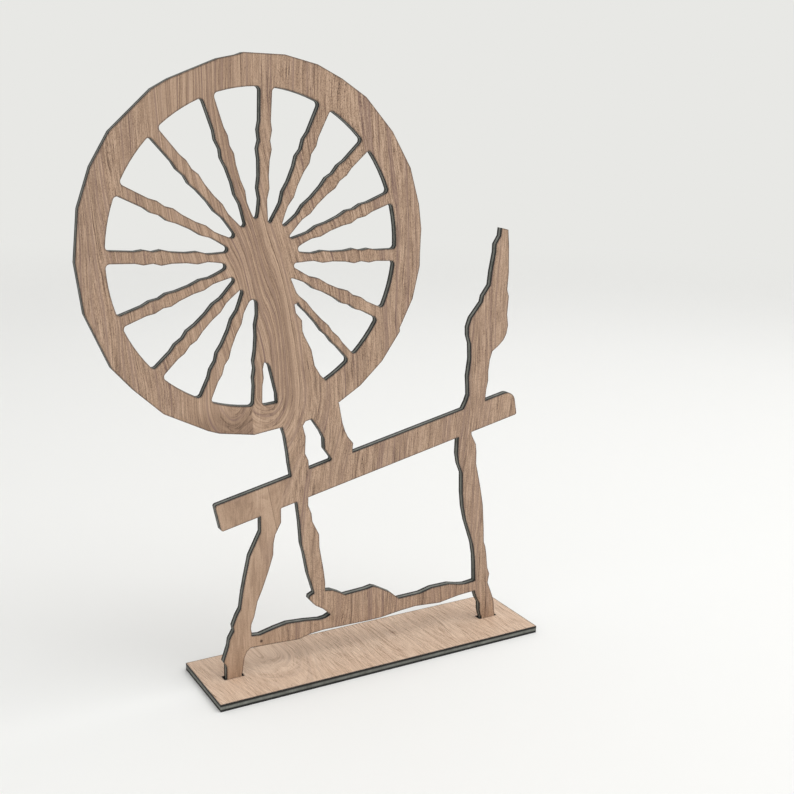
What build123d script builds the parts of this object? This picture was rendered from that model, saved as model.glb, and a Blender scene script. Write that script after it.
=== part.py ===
from build123d import *
import math
import os

# A freestanding ornament in the shape of a treadle spinning wheel: one pierced board,
# cut to the outline of the wheel, its stand, bench, legs, treadle and distaff, stands by
# its two feet in two slots of a base board. Both boards are dark cored, with a thin
# walnut veneer on each face.
# Frame: millimetres, +X along the base to the right of the front face, +Y to the back,
# +Z up. The origin is the centre of the base's underside.

# ---- boards ----
BASE_LENGTH = 304.8
BASE_DEPTH = 76.2
BASE_THICKNESS = 6.35
PANEL_THICKNESS = 6.35
VENEER = 0.6              # walnut on each face of both boards

# ---- feet and slots ----
LEFT_FOOT_X = -126.0      # middle of the left foot
LEFT_FOOT_WIDTH = 13.0
RIGHT_FOOT_X = 123.75     # middle of the right foot
RIGHT_FOOT_WIDTH = 14.5
FOOT_STRAIGHT = 3.0       # straight part of a foot above the base
FOOT_SHORT = 0.3          # the feet end this far above the base's underside
SLOT_FIT = 0.08           # between the panel's face and the slot's long wall
SLOT_END_GAP = 2.0        # between a foot's edge and the slot's end

# ---- bench: a plank that rises to the right ----
BENCH_LEFT = -140.5       # along the plank, from X = 0
BENCH_RIGHT = 142.0
BENCH_DEPTH = 22.6        # across the plank
BENCH_Z = 176.9           # middle of the plank at X = 0
BENCH_TILT = 12.6         # degrees
BENCH_NOSE = 9.0          # radius of the right end's upper corner
BENCH_CORNER = 2.0        # radius of the other corners

# ---- wheel ----
WHEEL_X = -98.9
WHEEL_Z = 347.0
WHEEL_RADIUS = 136.9
RIM_WIDTH = 22.2          # from the outside to the windows
RIM_SHIFT = -1.3          # the windows' circle lies this far to the left of the rim's
HUB_SHIFT_X = 0.5         # the spokes meet to the right of the rim's centre
HUB_DROP = 3.85           # and below it
WINDOW_CORNER = 3.0       # radius at the rim
TIP_ROUND = 1.5           # length of a window's rounded inner tip
# Distance from the hub's centre to each window's inner tip.
WINDOW_TIPS = [26.5, 28.5, 26.0, 29.0, 27.0, 27.0, 27.5, 28.5, 26.0, 27.5, 30.5, 26.0, 28.0, 28.0,
               26.5, 29.5]
# Direction of each spoke in degrees. The one at 290.5 lies within the stand.
SPOKE_ANGLES = [20.7, 42.9, 64.4, 87.9, 109.4, 131.8, 154.1, 176.8, 199.6, 223.5, 245.4, 267.7,
                290.5, 313.1, 334.5, 358.4]
# Width of each spoke against the common outline below.
SPOKE_SHARES = [0.92, 0.93, 1.03, 0.97, 0.9, 0.87, 0.88, 0.98, 0.88, 0.9, 0.92, 0.76, 1.0, 0.64,
                0.97, 1.0]
# Turned outline of a spoke: distances from the hub's centre as shares of the windows'
# circle, and the spoke's half width at each.
TURNING_SHARES = [0.244, 0.288, 0.323, 0.366, 0.432, 0.506, 0.602, 0.667, 0.719, 0.780, 0.833]
TURNING_HALF_WIDTHS = [3.9, 3.5, 3.1, 2.85, 4.5, 3.65, 4.1, 5.5, 4.1, 5.3, 4.2]
SPOKE_ROOT = 4.6          # half width at the rim
# The outside is cut in short straight lines: direction of each corner in degrees, and how
# far it lies outside the wheel's circle.
RIM_ANGLES = [3, 5, 13, 25, 38, 52, 62, 71, 82, 95, 97, 103, 119, 125, 142, 153, 165, 180, 195, 213,
              223, 231, 235, 251, 255, 267, 270, 284, 299, 308, 319, 330.5, 331.5, 342, 353, 357]
RIM_OFFSETS = [-1.0, -0.5, -0.4, 0.3, 0.0, 0.8, 0.1, 0.6, 0.3, 0.2, -1.0, -1.3, -1.3, -0.3, 0.9,
               0.6, 0.2, -0.3, 0.0, 0.5, -1.0, -1.0, 0.0, -0.2, 0.2, 0.3, -0.9, -0.9, -0.5, 0.2,
               0.5, 0.3, -1.3, -0.1, -0.2, -1.2]

# ---- turned members ----
# An edge is a list of points (share of the way from the member's lower end to its upper
# end, distance from its axis). The distance is level, and negative to the left.
LEG_TOP_X = -93.0
LEG_LEFT = [(0.058, -8.4), (0.115, -10.3), (0.141, -13.6), (0.224, -11.9), (0.263, -12.2),
            (0.308, -9.7), (0.333, -11.3), (0.385, -9.7), (0.423, -7.5), (0.513, -8.4),
            (0.590, -8.5), (0.705, -8.3), (0.770, -5.4), (0.827, -2.8), (1.0, -8.5)]
LEG_RIGHT = [(0.058, 5.1), (0.141, 4.3), (0.173, 5.3), (0.189, 7.8), (0.276, 6.6), (0.301, 5.0),
             (0.327, 4.7), (0.365, 5.9), (0.449, 6.2), (0.506, 8.3), (0.609, 10.9),
             (0.692, 12.2), (0.756, 10.5), (0.801, 10.6), (0.862, 13.6), (0.936, 11.1),
             (0.952, 14.0), (1.0, 19.0)]

MIDDLE_FOOT_X = -49.0
MIDDLE_FOOT_RISE = 24.0   # above the treadle bar's middle
MIDDLE_TOP_X = -65.0
MIDDLE_LEFT = [(0.0, -3.0), (0.070, -3.8), (0.145, -5.0), (0.245, -6.6), (0.42, -7.3),
               (0.51, -8.4), (0.57, -7.9), (0.69, -7.1), (0.86, -6.7), (0.885, -7.5),
               (1.0, -14.0)]
MIDDLE_RIGHT = [(0.0, 5.2), (0.070, 6.2), (0.145, 7.3), (0.245, 7.5), (0.46, 6.8),
                (0.51, 7.4), (0.57, 8.1), (0.63, 6.0), (0.69, 3.9), (0.76, 4.1),
                (0.83, 2.3), (0.885, 3.2), (1.0, 4.0)]

RIGHT_TOP_X = 88.0
RIGHT_LEFT = [(0.046, -6.3), (0.076, -6.8), (0.112, -6.0), (0.142, -8.4), (0.178, -9.6),
              (0.234, -8.1), (0.305, -6.5), (0.356, -5.7), (0.417, -6.0), (0.473, -8.0),
              (0.534, -10.3), (0.600, -11.4), (0.671, -10.8), (0.763, -8.5), (0.809, -10.9),
              (0.855, -11.2), (1.0, -6.0)]
RIGHT_RIGHT = [(0.046, 8.4), (0.102, 9.2), (0.127, 8.6), (0.168, 7.0), (0.209, 5.0),
               (0.254, 7.7), (0.285, 6.3), (0.356, 6.8), (0.392, 6.6), (0.417, 5.5),
               (0.483, 6.9), (0.600, 8.6), (0.692, 7.9), (0.799, 6.2), (0.855, 7.8),
               (0.890, 8.0), (0.936, 4.7), (1.0, 6.0)]

DISTAFF_X = 98.0          # its lower end, on the bench's middle
DISTAFF_LEAN = 19.5       # its tip lies this far to the right of that
DISTAFF_HEIGHT = 157.7    # from the bench's middle to the tip
DISTAFF_LEFT = [(0.0, -17.0), (0.093, -11.3), (0.128, -10.0), (0.172, -11.4), (0.230, -13.5),
                (0.325, -13.8), (0.407, -16.4), (0.451, -19.8), (0.496, -21.2), (0.545, -19.5),
                (0.591, -14.5), (0.623, -11.1), (0.654, -10.8), (0.708, -5.8), (0.781, -6.2),
                (0.876, -5.6), (0.918, -6.4), (0.959, -3.2), (1.0, -3.5)]
DISTAFF_RIGHT = [(0.0, 8.0), (0.100, 7.1), (0.147, 6.6), (0.198, 7.1), (0.249, 5.7),
                 (0.312, 5.4), (0.356, 6.6), (0.385, 12.5), (0.413, 16.4), (0.445, 18.3),
                 (0.490, 18.5), (0.547, 15.8), (0.642, 14.5), (0.680, 11.7), (0.769, 10.5),
                 (0.908, 6.3), (0.990, 3.1)]

# The stand carries the wheel: two posts on the bench that join into one below the hub.
STAND_X = -47.0           # its lower end, on the bench's middle
STAND_LEFT = [(0.0, -27.0), (0.040, -25.9), (0.088, -25.0), (0.134, -23.6), (0.218, -21.8),
              (0.252, -22.0), (0.377, -20.1), (0.416, -18.6), (0.541, -17.7), (0.556, -18.8),
              (0.566, -24.5), (0.75, -14.0), (1.0, -10.0)]
STAND_RIGHT = [(0.0, 27.0), (0.111, 32.2), (0.145, 34.4), (0.179, 31.2), (0.207, 30.1),
               (0.247, 29.7), (0.332, 31.0), (0.40, 31.0), (0.456, 24.4), (0.479, 21.6),
               (0.524, 18.9), (0.597, 19.7), (0.660, 16.9), (0.682, 16.5), (0.728, 18.4),
               (0.762, 15.1), (0.798, 15.8), (0.810, 21.0), (1.0, 16.0)]
# The window between the two posts.
EYE_LEFT = [(0.052, -9.8), (0.094, -8.2), (0.128, -9.4), (0.207, -4.9), (0.258, -4.8),
            (0.277, -1.5)]
EYE_RIGHT = [(0.079, 12.5), (0.100, 11.1), (0.134, 8.4), (0.184, 10.5), (0.218, 9.2),
             (0.284, 4.6)]
EYE_CORNER = 1.2

# ---- treadle and its bar ----
TREADLE_Z = 36.0          # middle of the bar
# Points (X, height above the bar's middle), from left to right, between the two legs.
TREADLE_TOP = [(-109.0, 4.3), (-103.0, 3.5), (-90.0, 6.5), (-78.0, 8.5), (-62.0, 7.3),
               (-48.0, 5.5), (-43.0, 6.0), (-38.5, 8.0), (-46.0, 15.0), (-53.0, 19.5),
               (-58.5, 26.0), (-58.0, 28.7), (-54.0, 30.6), (-44.0, 31.0), (-37.0, 30.0),
               (-30.0, 26.5), (-25.0, 23.3), (-5.0, 24.3), (2.0, 25.5), (6.0, 24.0),
               (20.0, 16.0), (28.0, 8.8), (50.0, 9.2), (62.0, 12.0), (80.0, 12.0),
               (90.0, 9.5), (97.0, 8.5), (107.0, 9.5)]
TREADLE_BOTTOM = [(-110.0, -6.0), (-90.0, -7.0), (-68.0, -8.2), (-57.0, -5.5), (-45.0, -4.5),
                  (0.0, -5.5), (10.0, -5.3), (30.0, -3.0), (45.0, -2.0), (70.0, -4.0),
                  (90.0, -1.0), (107.0, 0.0)]


def bench_middle(x):
    """Height of the bench plank's middle line at x."""
    return BENCH_Z + x * math.tan(math.radians(BENCH_TILT))


def outline(points):
    """A flat face in the drawing's plane, from its corner points."""
    return make_face(Polyline(*points, close=True))


def along(start, end, edge):
    """Points of an edge that is given by shares and distances from the axis start-end."""
    return [(start[0] + share * (end[0] - start[0]) + distance,
             start[1] + share * (end[1] - start[1])) for share, distance in edge]


def member(start, end, left, right):
    """A turned member between two points, from its left and right edges."""
    return outline(along(start, end, left) + along(start, end, right)[::-1])


def round_corners(face, corners, radius):
    """The face with the named corner points rounded."""
    chosen = [face.vertices().sort_by_distance(Vector(*corner))[0] for corner in corners]
    return fillet(chosen, radius)


# ---- wheel ----
hub = (WHEEL_X + HUB_SHIFT_X, WHEEL_Z - HUB_DROP)
window_radius = WHEEL_RADIUS - RIM_WIDTH
window_centre = (WHEEL_X + RIM_SHIFT, WHEEL_Z)


def spoke_point(spoke, side, distance, half_width):
    """A point beside a spoke's middle line, at a distance from the hub's centre."""
    angle, width_share = spoke
    turn = math.radians(angle)
    across = side * width_share * half_width
    return (hub[0] + distance * math.cos(turn) - across * math.sin(turn),
            hub[1] + distance * math.sin(turn) + across * math.cos(turn))


def rim_distance(spoke, side):
    """Distance from the hub's centre at which this side of the spoke meets the rim."""
    turn = math.radians(spoke[0])
    beside = spoke_point(spoke, side, 0.0, SPOKE_ROOT)
    away = (beside[0] - window_centre[0], beside[1] - window_centre[1])
    forward = away[0] * math.cos(turn) + away[1] * math.sin(turn)
    return -forward + math.sqrt(forward**2 - away[0]**2 - away[1]**2 + window_radius**2)


def spoke_edge(spoke, side, inner):
    """One side of a spoke, from a distance from the hub's centre out to the rim."""
    points = [spoke_point(spoke, side, inner, TURNING_HALF_WIDTHS[0])]
    for share, half_width in zip(TURNING_SHARES, TURNING_HALF_WIDTHS):
        if share * window_radius > inner:
            points.append(spoke_point(spoke, side, share * window_radius, half_width))
    points.append(spoke_point(spoke, side, rim_distance(spoke, side), SPOKE_ROOT))
    return points


def window(first, second, tip_distance):
    """The opening between two neighbouring spokes."""
    one = spoke_edge(first, 1, tip_distance + TIP_ROUND)
    two = spoke_edge(second, -1, tip_distance + TIP_ROUND)
    middle = math.radians((first[0] + second[0]) / 2)
    rim_point = (window_centre[0] + window_radius * math.cos(middle),
                 window_centre[1] + window_radius * math.sin(middle))
    tip = (hub[0] + tip_distance * math.cos(middle), hub[1] + tip_distance * math.sin(middle))
    edges = Polyline(*one) + ThreePointArc(one[-1], rim_point, two[-1])
    edges += Polyline(*two[::-1]) + ThreePointArc(two[0], tip, one[0])
    return round_corners(make_face(edges), [one[-1], two[-1]], WINDOW_CORNER)


def rim():
    """The wheel's outside."""
    corners = []
    for angle, offset in zip(RIM_ANGLES, RIM_OFFSETS):
        radius = WHEEL_RADIUS + offset
        turn = math.radians(angle)
        corners.append((WHEEL_X + radius * math.cos(turn), WHEEL_Z + radius * math.sin(turn)))
    return outline(corners)


def wheel():
    """The rim with its spokes and hub."""
    face = rim()
    spokes = list(zip(SPOKE_ANGLES, SPOKE_SHARES))
    spokes.append((SPOKE_ANGLES[0] + 360.0, SPOKE_SHARES[0]))
    for first, second, tip_distance in zip(spokes, spokes[1:], WINDOW_TIPS):
        face -= window(first, second, tip_distance)
    return face


# ---- bench, stand, legs, distaff and treadle ----
def bench():
    """The plank, with its right end's upper corner well rounded."""
    half = BENCH_DEPTH / 2
    corners = [(BENCH_LEFT, half), (BENCH_LEFT, -half), (BENCH_RIGHT, -half), (BENCH_RIGHT, half)]
    plank = round_corners(outline(corners), corners[:3], BENCH_CORNER)
    plank = round_corners(plank, corners[3:], BENCH_NOSE)
    return Pos(0, BENCH_Z) * Rot(0, 0, BENCH_TILT) * plank


def stand():
    """The wheel's two posts and the window between them."""
    lower = (STAND_X, bench_middle(STAND_X))
    left = along(lower, hub, EYE_LEFT)
    right = along(lower, hub, EYE_RIGHT)
    eye = round_corners(outline(left + right[::-1]), [left[0], right[0], left[-1], right[-1]],
                        EYE_CORNER)
    return member(lower, hub, STAND_LEFT, STAND_RIGHT) - eye


def left_leg():
    """The leg from the left foot to the bench."""
    top = (LEG_TOP_X, bench_middle(LEG_TOP_X))
    return member((LEFT_FOOT_X, 0.0), top, LEG_LEFT, LEG_RIGHT)


def middle_leg():
    """The leg that stands on the treadle."""
    lower = (MIDDLE_FOOT_X, TREADLE_Z + MIDDLE_FOOT_RISE)
    top = (MIDDLE_TOP_X, bench_middle(MIDDLE_TOP_X))
    return member(lower, top, MIDDLE_LEFT, MIDDLE_RIGHT)


def right_leg():
    """The leg from the right foot to the bench."""
    top = (RIGHT_TOP_X, bench_middle(RIGHT_TOP_X))
    return member((RIGHT_FOOT_X, 0.0), top, RIGHT_LEFT, RIGHT_RIGHT)


def distaff():
    """The upright with its swelling, on the bench's right end."""
    lower = (DISTAFF_X, bench_middle(DISTAFF_X))
    tip = (DISTAFF_X + DISTAFF_LEAN, lower[1] + DISTAFF_HEIGHT)
    return member(lower, tip, DISTAFF_LEFT, DISTAFF_RIGHT)


def treadle():
    """The treadle board and the bar that joins the two outer legs."""
    left_share = TREADLE_Z / bench_middle(LEG_TOP_X)
    right_share = TREADLE_Z / bench_middle(RIGHT_TOP_X)
    left_end = LEFT_FOOT_X + left_share * (LEG_TOP_X - LEFT_FOOT_X)
    right_end = RIGHT_FOOT_X + right_share * (RIGHT_TOP_X - RIGHT_FOOT_X)
    top = [(left_end, TREADLE_TOP[0][1])] + TREADLE_TOP + [(right_end, TREADLE_TOP[-1][1])]
    bottom = [(left_end, TREADLE_BOTTOM[0][1])] + TREADLE_BOTTOM
    bottom += [(right_end, TREADLE_BOTTOM[-1][1])]
    return Pos(0, TREADLE_Z) * outline(top + bottom[::-1])


def foot(middle, width, top):
    """The straight part of a foot, from inside the base up into the leg."""
    height = top - FOOT_SHORT
    return Pos(middle, FOOT_SHORT + height / 2) * Rectangle(width, height)


def panel():
    """The whole pierced board, seen from the front: X to the right, Y up."""
    feet_top = BASE_THICKNESS + FOOT_STRAIGHT
    face = wheel() + stand() + bench()
    face += left_leg() + middle_leg() + right_leg() + distaff() + treadle()
    face += foot(LEFT_FOOT_X, LEFT_FOOT_WIDTH, feet_top)
    face += foot(RIGHT_FOOT_X, RIGHT_FOOT_WIDTH, feet_top)
    return face


def base():
    """The base board, seen from above, with its two slots."""
    slot_width = PANEL_THICKNESS + 2 * SLOT_FIT
    face = Sketch() + Rectangle(BASE_LENGTH, BASE_DEPTH)
    for middle, width in ((LEFT_FOOT_X, LEFT_FOOT_WIDTH), (RIGHT_FOOT_X, RIGHT_FOOT_WIDTH)):
        face -= Pos(middle, 0) * Rectangle(width + 2 * SLOT_END_GAP, slot_width)
    return face


def plies(face, thickness):
    """The lower veneer, core and upper veneer of a board, stacked up from Z = 0."""
    core = thickness - 2 * VENEER
    layers = []
    for start, height in ((0.0, VENEER), (VENEER, core), (thickness - VENEER, VENEER)):
        layers.append(Pos(0, 0, start) * extrude(face, height))
    return layers


# The panel is drawn flat, then stood up with its front face towards -Y.
upright = Pos(0, PANEL_THICKNESS / 2, 0) * Rot(90, 0, 0)
panel_back, panel_core, panel_front = [upright * ply for ply in plies(panel(), PANEL_THICKNESS)]
base_bottom, base_core, base_top = plies(base(), BASE_THICKNESS)

nodes = {
    "base_core": base_core,
    "base_top_veneer": base_top,
    "base_bottom_veneer": base_bottom,
    "panel_core": panel_core,
    "panel_front_veneer": panel_front,
    "panel_back_veneer": panel_back,
}

os.makedirs("parts", exist_ok=True)
for name, shape in nodes.items():
    export_step(shape, f"parts/{name}.step")
    box = shape.bounding_box()
    print(name, len(shape.solids()), [round(v, 2) for v in (*box.min, *box.max)])
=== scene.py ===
"""Finish and photograph a laser-cut spinning wheel ornament: a pierced panel on its base.

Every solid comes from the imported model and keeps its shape. This script gives each one the
finish of the real board, and adds the floor, the sky, one soft lamp and the camera. Lengths
are in metres, and the names that end in _mm are in millimetres.
"""

import logging
import math
from dataclasses import dataclass
from enum import Enum
from typing import Any

import bmesh
import bpy
from mathutils import Matrix, Vector


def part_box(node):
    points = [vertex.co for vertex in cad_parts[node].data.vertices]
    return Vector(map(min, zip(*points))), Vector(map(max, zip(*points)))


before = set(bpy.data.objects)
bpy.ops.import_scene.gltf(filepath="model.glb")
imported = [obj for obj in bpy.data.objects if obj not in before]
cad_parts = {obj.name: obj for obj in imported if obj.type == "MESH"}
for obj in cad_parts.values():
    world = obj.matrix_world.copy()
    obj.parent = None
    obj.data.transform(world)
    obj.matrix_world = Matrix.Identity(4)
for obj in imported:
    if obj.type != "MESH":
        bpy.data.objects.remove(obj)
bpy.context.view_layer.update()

LOG = logging.getLogger("spinning_wheel_ornament")
PHOTO_PIXELS = 794
SENSOR_MM = 36.0
MM_PER_M = 1000.0
NOISE_MIDDLE = 0.5           # the mean of a noise texture
FACE_OR_CUT = 0.5            # a normal leans less than this to the faces' axis on a cut wall
BEVEL_SAMPLES = 6


class Board(Enum):
    """The two boards: which way each one's face looks and its grain runs."""

    STANDING = ("Y", "Z")
    LYING = ("Z", "Y")

    @property
    def facing(self) -> str:
        """Axis that the board's faces look along."""
        return self.value[0]

    @property
    def grain(self) -> str:
        """Axis that the veneer's grain runs along."""
        return self.value[1]


def linear(code: str) -> tuple[float, float, float, float]:
    """Turn an sRGB hex colour into a linear one.

    Args:
        code: The colour as "#rrggbb".

    Returns:
        Linear red, green, blue and an alpha of 1.
    """
    parts = [int(code[i:i + 2], 16) / 255 for i in (1, 3, 5)]
    red, green, blue = [
        part / 12.92 if part <= 0.04045 else ((part + 0.055) / 1.055) ** 2.4 for part in parts
    ]
    return (red, green, blue, 1.0)


def add_node(tree: bpy.types.NodeTree, kind: str, inputs: dict[Any, Any] | None = None,
             **settings: Any) -> bpy.types.Node:
    """Add a shader node.

    Args:
        tree: The material's or world's node tree.
        kind: The node's type, such as "ShaderNodeMath".
        inputs: Value for each input, by name or number. A node stands for its first output,
            and a socket or a node is linked.
        settings: Attributes of the node.

    Returns:
        The new node.
    """
    made = tree.nodes.new(kind)
    for name, value in settings.items():
        setattr(made, name, value)
    for slot, value in (inputs or {}).items():
        if isinstance(value, bpy.types.Node):
            value = value.outputs[0]
        if isinstance(value, bpy.types.NodeSocket):
            tree.links.new(value, made.inputs[slot])
        else:
            made.inputs[slot].default_value = value
    return made


def new_material(name: str) -> tuple[bpy.types.Material, bpy.types.NodeTree]:
    """Make an empty node material.

    Args:
        name: The material's name.

    Returns:
        The material and its emptied node tree.
    """
    material = bpy.data.materials.new(name)
    material.use_nodes = True
    material.node_tree.nodes.clear()
    return material, material.node_tree


@dataclass(frozen=True)
class Grain:
    """Where a point of a veneer leaf lies in its grain, in millimetres.

    Each place is a vector that ends in the leaf's seed.
    """

    leaf: bpy.types.Node             # place: across the leaf, along it
    along: bpy.types.NodeSocket
    across: bpy.types.Node           # from the seam, following the grain's sway
    rings: bpy.types.Node            # from the middle of the arches, across the rings
    strands: bpy.types.Node          # place: across, along
    ringed: bpy.types.Node           # place: rings, across
    focus: bpy.types.Node            # 1 in the figure, where every ring shows, to 0 outside
    seed: float


@dataclass(frozen=True)
class Marks:
    """A pattern of marks drawn out along the grain, made from noise."""

    width_mm: float
    length_mm: float
    detail: float = 0.0          # how much finer structure each mark has
    starts: float = 0.0          # noise level where a mark starts
    fills: float = 1.0           # noise level where it is strongest
    least: float = 0.0           # what the pattern gives between the marks
    most: float = 1.0            # what it gives where they are strongest
    edge: str = "SMOOTHSTEP"     # how a mark rises from one to the other

    def noise(self, tree: bpy.types.NodeTree, place: bpy.types.Node) -> bpy.types.Node:
        """Build the bare noise.

        Args:
            tree: The node tree.
            place: Place on the leaf: across or ring distance, along, seed.

        Returns:
            The noise, about 0.5 on average.
        """
        scaled = add_node(tree, "ShaderNodeVectorMath",
                          {0: place, 1: (1 / self.width_mm, 1 / self.length_mm, self.width_mm)},
                          operation="MULTIPLY")
        return add_node(tree, "ShaderNodeTexNoise", {"Vector": scaled, "Detail": self.detail})

    def build(self, tree: bpy.types.NodeTree, place: bpy.types.Node) -> bpy.types.Node:
        """Build the marks.

        Args:
            tree: The node tree.
            place: Place on the leaf: across or ring distance, along, seed.

        Returns:
            How strong the marks are.
        """
        return add_node(tree, "ShaderNodeMapRange",
                        {"Value": self.noise(tree, place), "From Min": self.starts,
                         "From Max": self.fills, "To Min": self.least, "To Max": self.most},
                        interpolation_type=self.edge)


@dataclass(frozen=True)
class QuietPatch:
    """An oval of plainer wood, with weaker fibres, pores and rings."""

    across_mm: float
    along_mm: float
    reach_mm: tuple[float, float]    # half its width and half its length
    share: float                     # how much of the streaks shows in it
    fade: tuple[float, float] = (0.75, 1.25)     # its edge, as shares of its reach

    def build(self, tree: bpy.types.NodeTree, leaf: bpy.types.Node) -> bpy.types.Node:
        """Build the patch.

        Args:
            tree: The node tree.
            leaf: Place on the leaf: across, along, seed.

        Returns:
            How much of the streaks shows, up to 1 outside the patch.
        """
        wide_mm, long_mm = self.reach_mm
        offset = add_node(tree, "ShaderNodeVectorMath",
                          {0: leaf, 1: (self.across_mm, self.along_mm, 0.0)},
                          operation="SUBTRACT")
        scaled = add_node(tree, "ShaderNodeVectorMath",
                          {0: offset, 1: (1 / wide_mm, 1 / long_mm, 0.0)},
                          operation="MULTIPLY")
        away = add_node(tree, "ShaderNodeVectorMath", {0: scaled}, operation="LENGTH")
        return add_node(tree, "ShaderNodeMapRange",
                        {"Value": away.outputs["Value"], "From Min": self.fade[0],
                         "From Max": self.fade[1], "To Min": self.share, "To Max": 1.0},
                        interpolation_type="SMOOTHSTEP")


@dataclass(frozen=True)
class Figure:
    """The growth rings of a plain-sawn veneer leaf, as they cross its face.

    The rings run along the grain, and at the turn they close into two rows of nested arches,
    one on each side of a seam. Above the turn the grain may sway to one side.
    """

    seam_mm: float
    lobes_mm: tuple[float, float]    # from the seam to the left and the right row's middle
    turn_mm: float
    depth_mm: float
    lean: float
    seed: float
    stretch: float = 1.35        # how much taller the arches are than wide
    clear_mm: float = 24.0       # within this ring distance every ring shows
    heart_mm: float = 22.0       # the left arches darken from the turn to this far below it
    heart_share: float = 0.33
    sway_mm: float = 0.0
    sway_from_mm: float = 40.0
    sway_to_mm: float = 60.0
    # The sway is whole within the first distance from the seam and gone beyond the second.
    sway_beside_mm: tuple[float, float] = (20.0, 165.0)
    quiet: QuietPatch | None = None

    def swayed(self, tree: bpy.types.NodeTree, across: bpy.types.Node,
               along: bpy.types.NodeSocket, above: bpy.types.Node) -> bpy.types.Node:
        """Follow the grain as it sways and leans.

        Args:
            tree: The node tree.
            across: Place across the leaf.
            along: Place along the grain.
            above: Height above the turn.

        Returns:
            The place across the grain, from the seam.
        """
        offset = add_node(tree, "ShaderNodeMath", {0: across, 1: self.seam_mm},
                          operation="SUBTRACT")
        beside = add_node(tree, "ShaderNodeMath", {0: offset}, operation="ABSOLUTE")
        near_mm, far_mm = self.sway_beside_mm
        near = add_node(tree, "ShaderNodeMapRange",
                        {"Value": beside, "From Min": near_mm, "From Max": far_mm,
                         "To Min": 1.0, "To Max": 0.0}, interpolation_type="SMOOTHSTEP")
        rise = add_node(tree, "ShaderNodeMapRange",
                        {"Value": along, "From Min": self.sway_from_mm,
                         "From Max": self.sway_to_mm, "To Min": 0.0, "To Max": self.sway_mm},
                        interpolation_type="SMOOTHSTEP")
        sway = add_node(tree, "ShaderNodeMath", {0: rise, 1: near, 2: offset},
                        operation="MULTIPLY_ADD")
        return add_node(tree, "ShaderNodeMath", {0: above, 1: self.lean, 2: sway},
                        operation="MULTIPLY_ADD")

    def ring_distance(self, tree: bpy.types.NodeTree, across: bpy.types.Node,
                      above: bpy.types.Node) -> bpy.types.Node:
        """Distance from the middle of the arches, measured across the rings.

        Args:
            tree: The node tree.
            across: Place across the grain, from the seam.
            above: Height above the turn.

        Returns:
            The distance in millimetres.
        """
        left_mm, right_mm = self.lobes_mm
        side = add_node(tree, "ShaderNodeMath", {0: across}, operation="ABSOLUTE")
        right = add_node(tree, "ShaderNodeMath", {0: across, 1: 0.0},
                         operation="GREATER_THAN")
        lobe = add_node(tree, "ShaderNodeMath", {0: right, 1: left_mm - right_mm, 2: side},
                        operation="MULTIPLY_ADD")
        lobe = add_node(tree, "ShaderNodeMath", {0: lobe, 1: left_mm}, operation="SUBTRACT")
        lobe = add_node(tree, "ShaderNodeMath", {0: lobe, 1: lobe}, operation="MULTIPLY")
        below = add_node(tree, "ShaderNodeMath",
                         {0: above, 1: -1.0 / (self.depth_mm * self.stretch)},
                         operation="MULTIPLY")
        below = add_node(tree, "ShaderNodeMath", {0: below, 1: 0.0}, operation="MAXIMUM")
        below = add_node(tree, "ShaderNodeMath", {0: below}, operation="TANH")
        below = add_node(tree, "ShaderNodeMath", {0: below, 1: self.depth_mm},
                         operation="MULTIPLY")
        square = add_node(tree, "ShaderNodeMath", {0: below, 1: below, 2: lobe},
                          operation="MULTIPLY_ADD")
        return add_node(tree, "ShaderNodeMath", {0: square}, operation="SQRT")

    def focus(self, tree: bpy.types.NodeTree, rings: bpy.types.Node) -> bpy.types.Node:
        """Mark where every ring shows.

        Args:
            tree: The node tree.
            rings: Ring distance.

        Returns:
            1 within the clear distance, falling to 0 at twice that distance.
        """
        return add_node(tree, "ShaderNodeMapRange",
                        {"Value": rings, "From Min": self.clear_mm,
                         "From Max": self.clear_mm * 2, "To Min": 1.0, "To Max": 0.0},
                        interpolation_type="SMOOTHSTEP")

    def heart(self, tree: bpy.types.NodeTree, grain: Grain) -> bpy.types.Node:
        """Mark the left arches, whose wood is darker below the turn.

        Args:
            tree: The node tree.
            grain: Where each point lies in the grain.

        Returns:
            How much the heartwood shows, from 0 to 1.
        """
        heart = add_node(tree, "ShaderNodeMapRange",
                         {"Value": grain.along, "From Min": self.turn_mm,
                          "From Max": self.turn_mm - self.heart_mm},
                         interpolation_type="SMOOTHSTEP")
        left = add_node(tree, "ShaderNodeMath", {0: grain.across, 1: 0.0},
                        operation="LESS_THAN")
        heart = add_node(tree, "ShaderNodeMath", {0: heart, 1: left}, operation="MULTIPLY")
        return add_node(tree, "ShaderNodeMath", {0: heart, 1: grain.focus},
                        operation="MULTIPLY")


@dataclass(frozen=True)
class PinKnot:
    """A small dark knot."""

    across_mm: float
    along_mm: float
    core_mm: float = 0.6         # it is darkest within this radius
    edge_mm: float = 1.8
    share: float = 0.8

    def darkness(self, tree: bpy.types.NodeTree, grain: Grain) -> bpy.types.Node:
        """How much the knot darkens the wood.

        Args:
            tree: The node tree.
            grain: Where each point lies in the grain.

        Returns:
            The added darkness.
        """
        away = add_node(tree, "ShaderNodeVectorMath",
                        {0: grain.leaf, 1: (self.across_mm, self.along_mm, grain.seed)},
                        operation="DISTANCE")
        return add_node(tree, "ShaderNodeMapRange",
                        {"Value": away.outputs["Value"], "From Min": self.core_mm,
                         "From Max": self.edge_mm, "To Min": self.share, "To Max": 0.0},
                        interpolation_type="SMOOTHSTEP")


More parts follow.
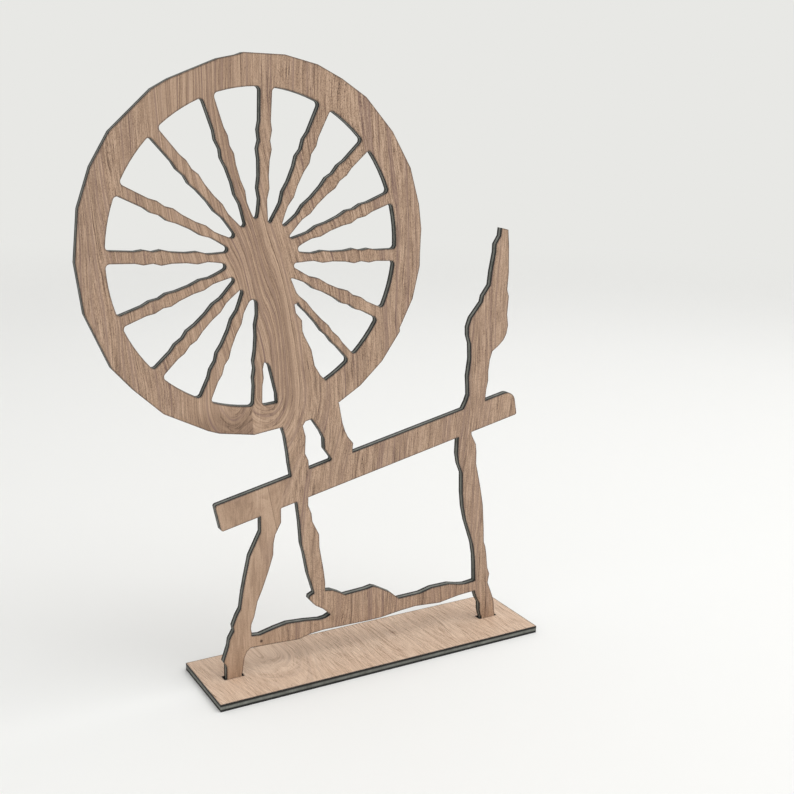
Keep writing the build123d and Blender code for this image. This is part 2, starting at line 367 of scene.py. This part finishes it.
@dataclass(frozen=True)
class LeafJoint:
    """The straight joint between two leaves of veneer: a hairline, and darker wood beyond it."""

    across_mm: float             # where it crosses the height below
    along_mm: float
    lean: float                  # how far it moves left for each millimetre up
    reach_mm: float              # it shows this far above and below
    hairline_mm: float = 0.4     # half the hairline's width
    hairline_share: float = 0.26
    fade_mm: float = 22.0
    step_share: float = 0.1

    def darkness(self, tree: bpy.types.NodeTree, grain: Grain) -> bpy.types.Node:
        """How much the joint darkens the wood.

        Args:
            tree: The node tree.
            grain: Where each point lies in the grain.

        Returns:
            The added darkness.
        """
        beyond = add_node(tree, "ShaderNodeVectorMath",
                          {0: grain.leaf, 1: (1.0, self.lean, 0.0)},
                          operation="DOT_PRODUCT")
        beyond = add_node(tree, "ShaderNodeMath",
                          {0: beyond.outputs["Value"],
                           1: self.across_mm + self.lean * self.along_mm},
                          operation="SUBTRACT")
        step = add_node(tree, "ShaderNodeMapRange",
                        {"Value": beyond, "From Min": 0.0, "From Max": self.fade_mm,
                         "To Min": self.step_share, "To Max": 0.0})
        past = add_node(tree, "ShaderNodeMath", {0: beyond, 1: 0.0}, operation="GREATER_THAN")
        step = add_node(tree, "ShaderNodeMath", {0: step, 1: past}, operation="MULTIPLY")
        hairline = add_node(tree, "ShaderNodeMath", {0: beyond, 1: 0.0, 2: self.hairline_mm},
                            operation="COMPARE")
        line = add_node(tree, "ShaderNodeMath", {0: hairline, 1: self.hairline_share, 2: step},
                        operation="MULTIPLY_ADD")
        shown = add_node(tree, "ShaderNodeMath",
                         {0: grain.along, 1: self.along_mm, 2: self.reach_mm},
                         operation="COMPARE")
        return add_node(tree, "ShaderNodeMath", {0: line, 1: shown}, operation="MULTIPLY")


@dataclass(frozen=True)
class WalnutVeneer:
    """American walnut veneer, knife-sliced, sanded and left almost raw.

    It shows as a matt, greyish brown ground with darker ring lines, wide purplish bands and
    short pore dashes. The laser has left a thin brown scorch along each cut, and the veneer's
    own cut edge is soot black.
    """

    name: str
    board: Board
    figure: Figure
    flaws: tuple[PinKnot | LeafJoint, ...] = ()
    pale: str = "#ceb097"
    ground: str = "#b4957c"
    streak: str = "#957963"
    ring: str = "#745a49"
    pore: str = "#574236"
    violet: str = "#876b62"
    stops: tuple[float, float, float] = (0.3, 0.58, 0.8)     # darkness of ground, streak, ring
    scorch: str = "#2f2722"
    soot: str = "#1b1917"
    base_tone: float = 0.11      # darkness of plain wood; then what each layer adds to it
    band_share: float = 0.2
    line_share: float = 0.36
    fibre_share: float = 1.95
    pore_share: float = 0.46
    violet_share: float = 0.6    # how much of the violet shows in its bands
    focus_calm: float = 0.5      # how much weaker fibres and pores are within the figure
    focus_light: float = 0.04    # how much paler its ground is
    # Fibres and pores are drawn coarser than real ones, which the render can't show.
    fibres: Marks = Marks(1.25, 70.0, detail=2.0)
    pores: Marks = Marks(0.95, 6.0, starts=0.52, fills=0.7, edge="LINEAR")
    bands: Marks = Marks(13.0, 90.0, detail=2.0, starts=0.32, fills=0.68)
    violets: Marks = Marks(11.0, 260.0, detail=1.5, starts=0.5, fills=0.72)
    # Patches where the fibres are stronger or weaker, and where rings show outside the figure.
    fibre_patches: Marks = Marks(60.0, 110.0, starts=0.36, fills=0.6, least=0.7, most=1.15)
    ring_patches: Marks = Marks(17.0, 150.0, detail=1.0, starts=0.4, fills=0.62)
    # How the grain wanders sideways: how far, and over how much across and along it.
    wander: tuple[tuple[float, float, float], ...] = ((9.0, 90.0, 400.0), (0.9, 16.0, 90.0))
    ring_mm: float = 3.4         # from one ring to the next
    late_wood: tuple[float, float] = (0.45, 0.97)      # where in a ring it darkens
    ring_warp: float = 3.4       # how many rings the lines wander,
    warp_rings: float = 3.3      # over this many rings across
    warp_length_mm: float = 90.0     # and this far along
    pore_depth_mm: float = 0.05
    pore_relief: float = 0.8
    roughness: tuple[float, float] = (0.53, 0.72)      # of the palest wood and of the pores
    ior: float = 1.5
    scorch_mm: float = 1.8
    # The cosine between the face and its rounded edge, where the scorch starts and is full.
    scorch_turn: tuple[float, float] = (0.995, 0.86)
    scorch_share: float = 0.92

    def material(self) -> bpy.types.Material:
        """Build the veneer's material.

        Returns:
            The finished material.
        """
        material, tree = new_material(self.name)
        coordinate = add_node(tree, "ShaderNodeTexCoord")
        grain = self.grain(tree, coordinate)
        darkness, relief = self.tone(tree, grain)
        wood = add_node(tree, "ShaderNodeValToRGB", {0: darkness})
        self.fill_ramp(wood.color_ramp)
        tint = add_node(tree, "ShaderNodeMath",
                        {0: self.violets.build(tree, grain.ringed), 1: self.violet_share},
                        operation="MULTIPLY")
        tinted = add_node(tree, "ShaderNodeMix", {0: tint, 6: wood, 7: linear(self.violet)},
                          data_type="RGBA")
        colour = self.burnt(tree, coordinate, tinted.outputs[2])
        bump = add_node(tree, "ShaderNodeBump",
                        {"Height": relief, "Distance": self.pore_depth_mm / MM_PER_M,
                         "Strength": self.pore_relief})
        rough = add_node(tree, "ShaderNodeMapRange",
                         {"Value": darkness, "To Min": self.roughness[0],
                          "To Max": self.roughness[1]})
        shader = add_node(tree, "ShaderNodeBsdfPrincipled",
                          {"Base Color": colour, "Roughness": rough, "IOR": self.ior,
                           "Normal": bump})
        add_node(tree, "ShaderNodeOutputMaterial", {"Surface": shader})
        return material

    def grain(self, tree: bpy.types.NodeTree, coordinate: bpy.types.Node) -> Grain:
        """Find where each point lies in the grain.

        Args:
            tree: The node tree.
            coordinate: The texture coordinates.

        Returns:
            The places and distances that the patterns are drawn by.
        """
        figure = self.figure
        place = add_node(tree, "ShaderNodeVectorMath",
                         {0: coordinate.outputs["Object"], 1: (MM_PER_M,) * 3},
                         operation="MULTIPLY")
        split = add_node(tree, "ShaderNodeSeparateXYZ", {0: place})
        along = split.outputs[self.board.grain]
        leaf = add_node(tree, "ShaderNodeCombineXYZ",
                        {0: split.outputs["X"], 1: along, 2: figure.seed})
        above = add_node(tree, "ShaderNodeMath", {0: along, 1: figure.turn_mm},
                         operation="SUBTRACT")
        across = figure.swayed(tree, self.wandering(tree, leaf), along, above)
        rings = figure.ring_distance(tree, across, above)
        strands = add_node(tree, "ShaderNodeCombineXYZ", {0: across, 1: along, 2: figure.seed})
        ringed = add_node(tree, "ShaderNodeCombineXYZ", {0: rings, 1: across, 2: figure.seed})
        return Grain(leaf, along, across, rings, strands, ringed, figure.focus(tree, rings),
                     figure.seed)

    def wandering(self, tree: bpy.types.NodeTree, leaf: bpy.types.Node) -> bpy.types.Node:
        """Follow the grain as it wanders sideways.

        Args:
            tree: The node tree.
            leaf: Place on the leaf: across, along, seed.

        Returns:
            The wandering place across the leaf.
        """
        across = add_node(tree, "ShaderNodeSeparateXYZ", {0: leaf})
        for reach_mm, wide_mm, long_mm in self.wander:
            drift = add_node(tree, "ShaderNodeVectorMath",
                             {0: leaf, 1: (1 / wide_mm, 1 / long_mm, reach_mm)},
                             operation="MULTIPLY")
            drift = add_node(tree, "ShaderNodeTexNoise", {"Vector": drift, "Detail": 0.0})
            drift = add_node(tree, "ShaderNodeMath", {0: drift, 1: NOISE_MIDDLE},
                             operation="SUBTRACT")
            across = add_node(tree, "ShaderNodeMath", {0: drift, 1: reach_mm, 2: across},
                              operation="MULTIPLY_ADD")
        return across

    def growth_lines(self, tree: bpy.types.NodeTree, grain: Grain) -> bpy.types.Node:
        """The dark late wood of each ring: it deepens outward and ends sharply.

        Args:
            tree: The node tree.
            grain: Where each point lies in the grain.

        Returns:
            How much of the line shows, from 0 to 1.
        """
        warp = Marks(self.ring_mm * self.warp_rings, self.warp_length_mm)
        warp = add_node(tree, "ShaderNodeMath",
                        {0: warp.noise(tree, grain.ringed), 1: self.ring_warp},
                        operation="MULTIPLY")
        phase = add_node(tree, "ShaderNodeMath",
                         {0: grain.rings, 1: 1 / self.ring_mm, 2: warp},
                         operation="MULTIPLY_ADD")
        phase = add_node(tree, "ShaderNodeMath", {0: phase}, operation="FRACT")
        line = add_node(tree, "ShaderNodeMapRange",
                        {"Value": phase, "From Min": self.late_wood[0],
                         "From Max": self.late_wood[1]}, interpolation_type="SMOOTHSTEP")
        shown = add_node(tree, "ShaderNodeMath",
                         {0: self.ring_patches.build(tree, grain.leaf), 1: grain.focus},
                         operation="MAXIMUM")
        return add_node(tree, "ShaderNodeMath", {0: line, 1: shown}, operation="MULTIPLY")

    def tone(self, tree: bpy.types.NodeTree,
             grain: Grain) -> tuple[bpy.types.Node, bpy.types.Node]:
        """How dark the wood is at each place, from its bands, rings, fibres and pores.

        Args:
            tree: The node tree.
            grain: Where each point lies in the grain.

        Returns:
            The darkness from 0 to 1, and the height of the surface.
        """
        figure = self.figure
        quiet = figure.quiet.build(tree, grain.leaf) if figure.quiet else 1.0
        calm = add_node(tree, "ShaderNodeMath", {0: grain.focus, 1: -self.focus_calm, 2: 1.0},
                        operation="MULTIPLY_ADD")
        calm = add_node(tree, "ShaderNodeMath", {0: calm, 1: quiet}, operation="MULTIPLY")
        ground = add_node(tree, "ShaderNodeMath",
                          {0: grain.focus, 1: -self.focus_light, 2: self.base_tone},
                          operation="MULTIPLY_ADD")
        fibre = self.fibres.noise(tree, grain.strands)
        strength = add_node(tree, "ShaderNodeMath",
                            {0: self.fibre_patches.build(tree, grain.leaf),
                             1: self.fibre_share}, operation="MULTIPLY")
        strength = add_node(tree, "ShaderNodeMath", {0: strength, 1: calm},
                            operation="MULTIPLY")
        dark = add_node(tree, "ShaderNodeMath", {0: fibre, 1: NOISE_MIDDLE},
                        operation="SUBTRACT")
        dark = add_node(tree, "ShaderNodeMath", {0: dark, 1: strength, 2: ground},
                        operation="MULTIPLY_ADD")
        pore = self.pores.build(tree, grain.strands)
        pores = add_node(tree, "ShaderNodeMath", {0: pore, 1: calm}, operation="MULTIPLY")
        lines = add_node(tree, "ShaderNodeMath",
                         {0: self.growth_lines(tree, grain), 1: quiet}, operation="MULTIPLY")
        layers = ((self.bands.build(tree, grain.ringed), self.band_share),
                  (lines, self.line_share), (pores, self.pore_share),
                  (figure.heart(tree, grain), figure.heart_share))
        for layer, share in layers:
            dark = add_node(tree, "ShaderNodeMath", {0: layer, 1: share, 2: dark},
                            operation="MULTIPLY_ADD")
        for flaw in self.flaws:
            dark = add_node(tree, "ShaderNodeMath", {0: dark, 1: flaw.darkness(tree, grain)},
                            operation="ADD")
        height = add_node(tree, "ShaderNodeMath", {0: pore, 1: -1.0, 2: fibre},
                          operation="MULTIPLY_ADD")
        return dark, height

    def fill_ramp(self, ramp: bpy.types.ColorRamp) -> None:
        """Set the colours from the palest wood to the pores.

        Args:
            ramp: The colour ramp of the darkness.
        """
        for stop in self.stops:
            ramp.elements.new(stop)
        codes = (self.pale, self.ground, self.streak, self.ring, self.pore)
        for element, code in zip(ramp.elements, codes):
            element.color = linear(code)

    def burnt(self, tree: bpy.types.NodeTree, coordinate: bpy.types.Node,
              wood: bpy.types.NodeSocket) -> bpy.types.NodeSocket:
        """Burn the wood's colour along the laser's cuts.

        Args:
            tree: The node tree.
            coordinate: The texture coordinates.
            wood: The wood's colour.

        Returns:
            The colour with the scorched line beside each cut and the sooty cut edge.
        """
        rounded = add_node(tree, "ShaderNodeBevel", {"Radius": self.scorch_mm / MM_PER_M},
                           samples=BEVEL_SAMPLES)
        flat = add_node(tree, "ShaderNodeNewGeometry")
        same = add_node(tree, "ShaderNodeVectorMath", {0: rounded, 1: flat.outputs["Normal"]},
                        operation="DOT_PRODUCT")
        scorch = add_node(tree, "ShaderNodeMapRange",
                          {"Value": same.outputs["Value"], "From Min": self.scorch_turn[0],
                           "From Max": self.scorch_turn[1], "To Min": 0.0,
                           "To Max": self.scorch_share})
        scorched = add_node(tree, "ShaderNodeMix",
                            {0: scorch, 6: wood, 7: linear(self.scorch)}, data_type="RGBA")
        normal = add_node(tree, "ShaderNodeSeparateXYZ", {0: coordinate.outputs["Normal"]})
        facing = add_node(tree, "ShaderNodeMath", {0: normal.outputs[self.board.facing]},
                          operation="ABSOLUTE")
        cut = add_node(tree, "ShaderNodeMath", {0: facing, 1: FACE_OR_CUT},
                       operation="LESS_THAN")
        mixed = add_node(tree, "ShaderNodeMix",
                         {0: cut, 6: scorched.outputs[2], 7: linear(self.soot)},
                         data_type="RGBA")
        return mixed.outputs[2]


@dataclass(frozen=True)
class CharredCore:
    """Medium-density fibreboard, cut by laser.

    The beam leaves a dry, charcoal grey wall with fine ripples from face to face, black
    along both faces where the smoke has licked it.
    """

    name: str
    board: Board
    middle_mm: float             # the board's middle plane, on the axis its faces look along
    half_mm: float               # half the core's thickness
    grey: str = "#8d8e87"
    dark: str = "#55564f"
    soot: str = "#1a1917"
    ripple_mm: float = 0.8       # the laser's steps, drawn coarser than their real 0.1 mm
    ripple_length_mm: float = 30.0
    ripple_share: float = 0.7
    ripple_detail: float = 2.0
    ripple_depth_mm: float = 0.06
    ripple_relief: float = 0.7
    cloud_scale: float = 0.12    # paler and darker patches, one in about 8 mm
    cloud_detail: float = 3.0
    shades: tuple[float, float] = (0.55, 1.15)     # levels of the darkest and palest char
    # The smoke's black starts this deep inside each face of the core, and is full at the second.
    smoke_mm: tuple[float, float] = (2.0, 0.8)
    roughness: float = 0.72
    ior: float = 1.45

    def material(self) -> bpy.types.Material:
        """Build the cut edge's material.

        Returns:
            The finished material.
        """
        material, tree = new_material(self.name)
        coordinate = add_node(tree, "ShaderNodeTexCoord")
        place = add_node(tree, "ShaderNodeVectorMath",
                         {0: coordinate.outputs["Object"], 1: (MM_PER_M,) * 3},
                         operation="MULTIPLY")
        split = add_node(tree, "ShaderNodeSeparateXYZ", {0: place})
        fine, slow = 1 / self.ripple_mm, 1 / self.ripple_length_mm
        stretch = (fine, slow, fine) if self.board is Board.STANDING else (fine, fine, slow)
        ripple = add_node(tree, "ShaderNodeVectorMath", {0: place, 1: stretch},
                          operation="MULTIPLY")
        ripple = add_node(tree, "ShaderNodeTexNoise",
                          {"Vector": ripple, "Detail": self.ripple_detail})
        cloud = add_node(tree, "ShaderNodeTexNoise",
                         {"Vector": place, "Scale": self.cloud_scale,
                          "Detail": self.cloud_detail})
        shade = add_node(tree, "ShaderNodeMath", {0: ripple, 1: self.ripple_share, 2: cloud},
                         operation="MULTIPLY_ADD")
        shade = add_node(tree, "ShaderNodeMapRange",
                         {"Value": shade, "From Min": self.shades[0],
                          "From Max": self.shades[1]})
        char = add_node(tree, "ShaderNodeMix",
                        {0: shade, 6: linear(self.dark), 7: linear(self.grey)},
                        data_type="RGBA")
        depth = add_node(tree, "ShaderNodeMath",
                         {0: split.outputs[self.board.facing], 1: self.middle_mm},
                         operation="SUBTRACT")
        depth = add_node(tree, "ShaderNodeMath", {0: depth}, operation="ABSOLUTE")
        smoke = add_node(tree, "ShaderNodeMapRange",
                         {"Value": depth, "From Min": self.half_mm - self.smoke_mm[0],
                          "From Max": self.half_mm - self.smoke_mm[1], "To Min": 0.0,
                          "To Max": 1.0}, interpolation_type="SMOOTHSTEP")
        colour = add_node(tree, "ShaderNodeMix",
                          {0: smoke, 6: char.outputs[2], 7: linear(self.soot)},
                          data_type="RGBA")
        bump = add_node(tree, "ShaderNodeBump",
                        {"Height": ripple, "Distance": self.ripple_depth_mm / MM_PER_M,
                         "Strength": self.ripple_relief})
        shader = add_node(tree, "ShaderNodeBsdfPrincipled",
                          {"Base Color": colour.outputs[2], "Roughness": self.roughness,
                           "IOR": self.ior, "Normal": bump})
        add_node(tree, "ShaderNodeOutputMaterial", {"Surface": shader})
        return material


def dress(node: str, material: bpy.types.Material) -> None:
    """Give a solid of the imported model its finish.

    Args:
        node: The solid's name.
        material: Its finish.
    """
    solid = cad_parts[node]
    solid.data.materials.clear()
    solid.data.materials.append(material)
    LOG.info("%s: %s, %d faces", node, material.name, len(solid.data.polygons))


@dataclass
class StandingPanel:
    """The pierced panel: core, front veneer and back veneer."""

    front_figure: Figure
    front_flaws: tuple[PinKnot | LeafJoint, ...]
    back_figure: Figure

    def build(self) -> None:
        """Dress the panel's three layers."""
        low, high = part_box("panel_core")
        half_mm = (high.y - low.y) * MM_PER_M / 2
        dress("panel_core", CharredCore("laser_charred_fibreboard_panel", Board.STANDING, 0.0,
                                        half_mm).material())
        dress("panel_front_veneer", WalnutVeneer("sliced_walnut_panel_front", Board.STANDING,
                                                 self.front_figure,
                                                 self.front_flaws).material())
        dress("panel_back_veneer", WalnutVeneer("sliced_walnut_panel_back", Board.STANDING,
                                                self.back_figure).material())


@dataclass
class BaseBoard:
    """The base board: core, top veneer and bottom veneer."""

    top_figure: Figure
    bottom_figure: Figure

    def build(self) -> None:
        """Dress the base's three layers."""
        low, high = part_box("base_core")
        middle_mm = (high.z + low.z) * MM_PER_M / 2
        half_mm = (high.z - low.z) * MM_PER_M / 2
        dress("base_core", CharredCore("laser_charred_fibreboard_base", Board.LYING, middle_mm,
                                       half_mm).material())
        # The top veneer is the panel's walnut. Its paler pale, ground, streak and ring colours
        # are painted top light: they stand in for the stronger light that falls on the up-facing
        # top.
        dress("base_top_veneer", WalnutVeneer("sliced_walnut_base_top_with_painted_top_light", Board.LYING,
                                              self.top_figure, pale="#e6ccb4",
                                              ground="#d2b49b", streak="#b09279",
                                              ring="#8f725e", ring_mm=4.6, band_share=0.16,
                                              line_share=0.24, fibre_share=2.1,
                                              pore_share=0.24, violet_share=0.15).material())
        dress("base_bottom_veneer", WalnutVeneer("sliced_walnut_base_bottom", Board.LYING,
                                                 self.bottom_figure).material())


@dataclass
class Studio:
    """A seamless pale floor that rises all round, an even sky, one soft lamp and the camera."""

    floor_colour: str = "#f3f3f1"
    middle_radius: float = 1.0   # of the floor's middle face
    flat_radius: float = 3.0
    sweep_radius: float = 1.2
    wall_top: float = 2.0
    floor_sides: int = 96
    sweep_steps: int = 16
    backdrop_colour: str = "#e8e8e5"
    backdrop_from: float = 1.2   # the floor turns into the even backdrop between these radii
    backdrop_to: float = 2.8
    sky_strength: float = 0.7
    key_place: tuple[float, float, float] = (1.0, -0.8, 2.5)
    key_aim: tuple[float, float, float] = (0.0, 0.0, 0.2)
    key_size: float = 2.2
    key_power: float = 38.0
    camera_place: tuple[float, float, float] = (-0.4368, -0.7594, 0.4617)
    camera_forward: tuple[float, float, float] = (0.45831, 0.82798, -0.32312)
    camera_roll_degrees: float = 1.091
    focal_pixels: float = 1126.72
    axis_pixel: tuple[float, float] = (354.6, 472.7)
    clip_start: float = 0.01

    def build(self) -> None:
        """Build the floor, the light and the camera."""
        self.build_floor()
        self.build_sky()
        self.build_key_lamp()
        self.build_camera()

    def build_floor(self) -> None:
        """Turn the floor's profile round the vertical axis."""
        profile = [(self.middle_radius, 0.0), (self.flat_radius, 0.0)]
        for step in range(1, self.sweep_steps + 1):
            turn = math.pi / 2 * step / self.sweep_steps
            profile.append((self.flat_radius + self.sweep_radius * math.sin(turn),
                            self.sweep_radius * (1 - math.cos(turn))))
        profile.append((self.flat_radius + self.sweep_radius, self.wall_top))
        mesh = bmesh.new()
        rings = []
        for radius, height in profile:
            turns = [2 * math.pi * side / self.floor_sides for side in range(self.floor_sides)]
            rings.append([mesh.verts.new((radius * math.cos(turn), radius * math.sin(turn),
                                          height)) for turn in turns])
        mesh.faces.new(rings[0])
        for inner, outer in zip(rings, rings[1:]):
            for side in range(self.floor_sides):
                after = (side + 1) % self.floor_sides
                face = mesh.faces.new((inner[side], outer[side], outer[after], inner[after]))
                face.smooth = True
        data = bpy.data.meshes.new("studio_floor")
        mesh.to_mesh(data)
        mesh.free()
        floor = bpy.data.objects.new("studio_floor", data)
        bpy.context.scene.collection.objects.link(floor)
        data.materials.append(self.paper())
        LOG.info("floor: %.1f m across", 2 * (self.flat_radius + self.sweep_radius))

    def paper(self) -> bpy.types.Material:
        """Build the seamless paper: lit near the part, and an even tone far away.

        Returns:
            The finished material.
        """
        material, tree = new_material("matt_paper_floor")
        lit = add_node(tree, "ShaderNodeBsdfDiffuse", {"Color": linear(self.floor_colour)})
        even = add_node(tree, "ShaderNodeEmission", {"Color": linear(self.backdrop_colour)})
        coordinate = add_node(tree, "ShaderNodeTexCoord")
        reach = add_node(tree, "ShaderNodeVectorMath", {0: coordinate.outputs["Object"]},
                         operation="LENGTH")
        far = add_node(tree, "ShaderNodeMapRange",
                       {"Value": reach.outputs["Value"], "From Min": self.backdrop_from,
                        "From Max": self.backdrop_to}, interpolation_type="SMOOTHSTEP")
        path = add_node(tree, "ShaderNodeLightPath")
        seen = add_node(tree, "ShaderNodeMath", {0: path.outputs["Is Camera Ray"],
                                                 1: path.outputs["Is Glossy Ray"]},
                        operation="MAXIMUM")
        seen = add_node(tree, "ShaderNodeMath", {0: seen,
                                                 1: path.outputs["Is Transmission Ray"]},
                        operation="MAXIMUM")
        share = add_node(tree, "ShaderNodeMath", {0: far, 1: seen}, operation="MULTIPLY")
        shader = add_node(tree, "ShaderNodeMixShader", {0: share, 1: lit, 2: even})
        add_node(tree, "ShaderNodeOutputMaterial", {"Surface": shader})
        return material

    def build_sky(self) -> None:
        """Light the scene evenly from all round."""
        world = bpy.data.worlds.new("even_sky")
        bpy.context.scene.world = world
        world.use_nodes = True
        tree = world.node_tree
        tree.nodes.clear()
        sky = add_node(tree, "ShaderNodeBackground",
                       {"Color": (1.0, 1.0, 1.0, 1.0), "Strength": self.sky_strength})
        add_node(tree, "ShaderNodeOutputWorld", {"Surface": sky})

    def build_key_lamp(self) -> None:
        """Hang the soft lamp above the right front."""
        data = bpy.data.lights.new("soft_box", "AREA")
        data.energy = self.key_power
        data.size = self.key_size
        lamp = bpy.data.objects.new("soft_box", data)
        lamp.location = self.key_place
        aim = Vector(self.key_aim) - lamp.location
        lamp.rotation_euler = aim.to_track_quat("-Z", "Y").to_euler()
        bpy.context.scene.collection.objects.link(lamp)

    def build_camera(self) -> None:
        """Stand the camera where the photograph was taken from."""
        forward = Vector(self.camera_forward).normalized()
        right = forward.cross(Vector((0.0, 0.0, 1.0))).normalized()
        up = right.cross(forward)
        roll = math.radians(self.camera_roll_degrees)
        right, up = (right * math.cos(roll) + up * math.sin(roll),
                     up * math.cos(roll) - right * math.sin(roll))
        matrix = Matrix((right, up, -forward)).transposed().to_4x4()
        matrix.translation = Vector(self.camera_place)
        data = bpy.data.cameras.new("photograph")
        data.sensor_width = SENSOR_MM
        data.lens = self.focal_pixels * SENSOR_MM / PHOTO_PIXELS
        data.shift_x = (PHOTO_PIXELS / 2 - self.axis_pixel[0]) / PHOTO_PIXELS
        data.shift_y = (self.axis_pixel[1] - PHOTO_PIXELS / 2) / PHOTO_PIXELS
        data.clip_start = self.clip_start
        camera = bpy.data.objects.new("photograph", data)
        camera.matrix_world = matrix
        bpy.context.scene.collection.objects.link(camera)
        bpy.context.scene.camera = camera


def main() -> None:
    """Dress both boards and set up the studio."""
    logging.basicConfig(level=logging.INFO, format="%(name)s: %(message)s")
    StandingPanel(
        front_figure=Figure(seam_mm=-105.0, lobes_mm=(16.0, 10.0), turn_mm=241.0,
                            depth_mm=46.0, lean=0.0, seed=3.1, sway_mm=47.0,
                            sway_from_mm=240.0, sway_to_mm=460.0,
                            quiet=QuietPatch(across_mm=-135.0, along_mm=110.0,
                                             reach_mm=(62.0, 125.0), share=0.45)),
        front_flaws=(PinKnot(across_mm=-102.0, along_mm=34.0),
                     LeafJoint(across_mm=-93.0, along_mm=155.0, lean=0.2, reach_mm=45.0)),
        back_figure=Figure(seam_mm=-40.0, lobes_mm=(9.0, 12.0), turn_mm=120.0, depth_mm=40.0,
                           lean=-0.03, seed=8.7, sway_mm=-18.0, sway_from_mm=180.0,
                           sway_to_mm=420.0),
    ).build()
    BaseBoard(
        top_figure=Figure(seam_mm=-88.0, lobes_mm=(6.0, 4.0), turn_mm=22.0, depth_mm=30.0,
                          lean=0.05, seed=14.2, clear_mm=12.0, heart_share=0.0,
                          quiet=QuietPatch(across_mm=-100.0, along_mm=0.0,
                                           reach_mm=(60.0, 90.0), share=0.75)),
        bottom_figure=Figure(seam_mm=60.0, lobes_mm=(5.0, 7.0), turn_mm=10.0, depth_mm=30.0,
                             lean=-0.04, seed=19.9),
    ).build()
    Studio().build()
    bpy.context.scene.view_settings.view_transform = "Standard"


if __name__ == "__main__":
    main()
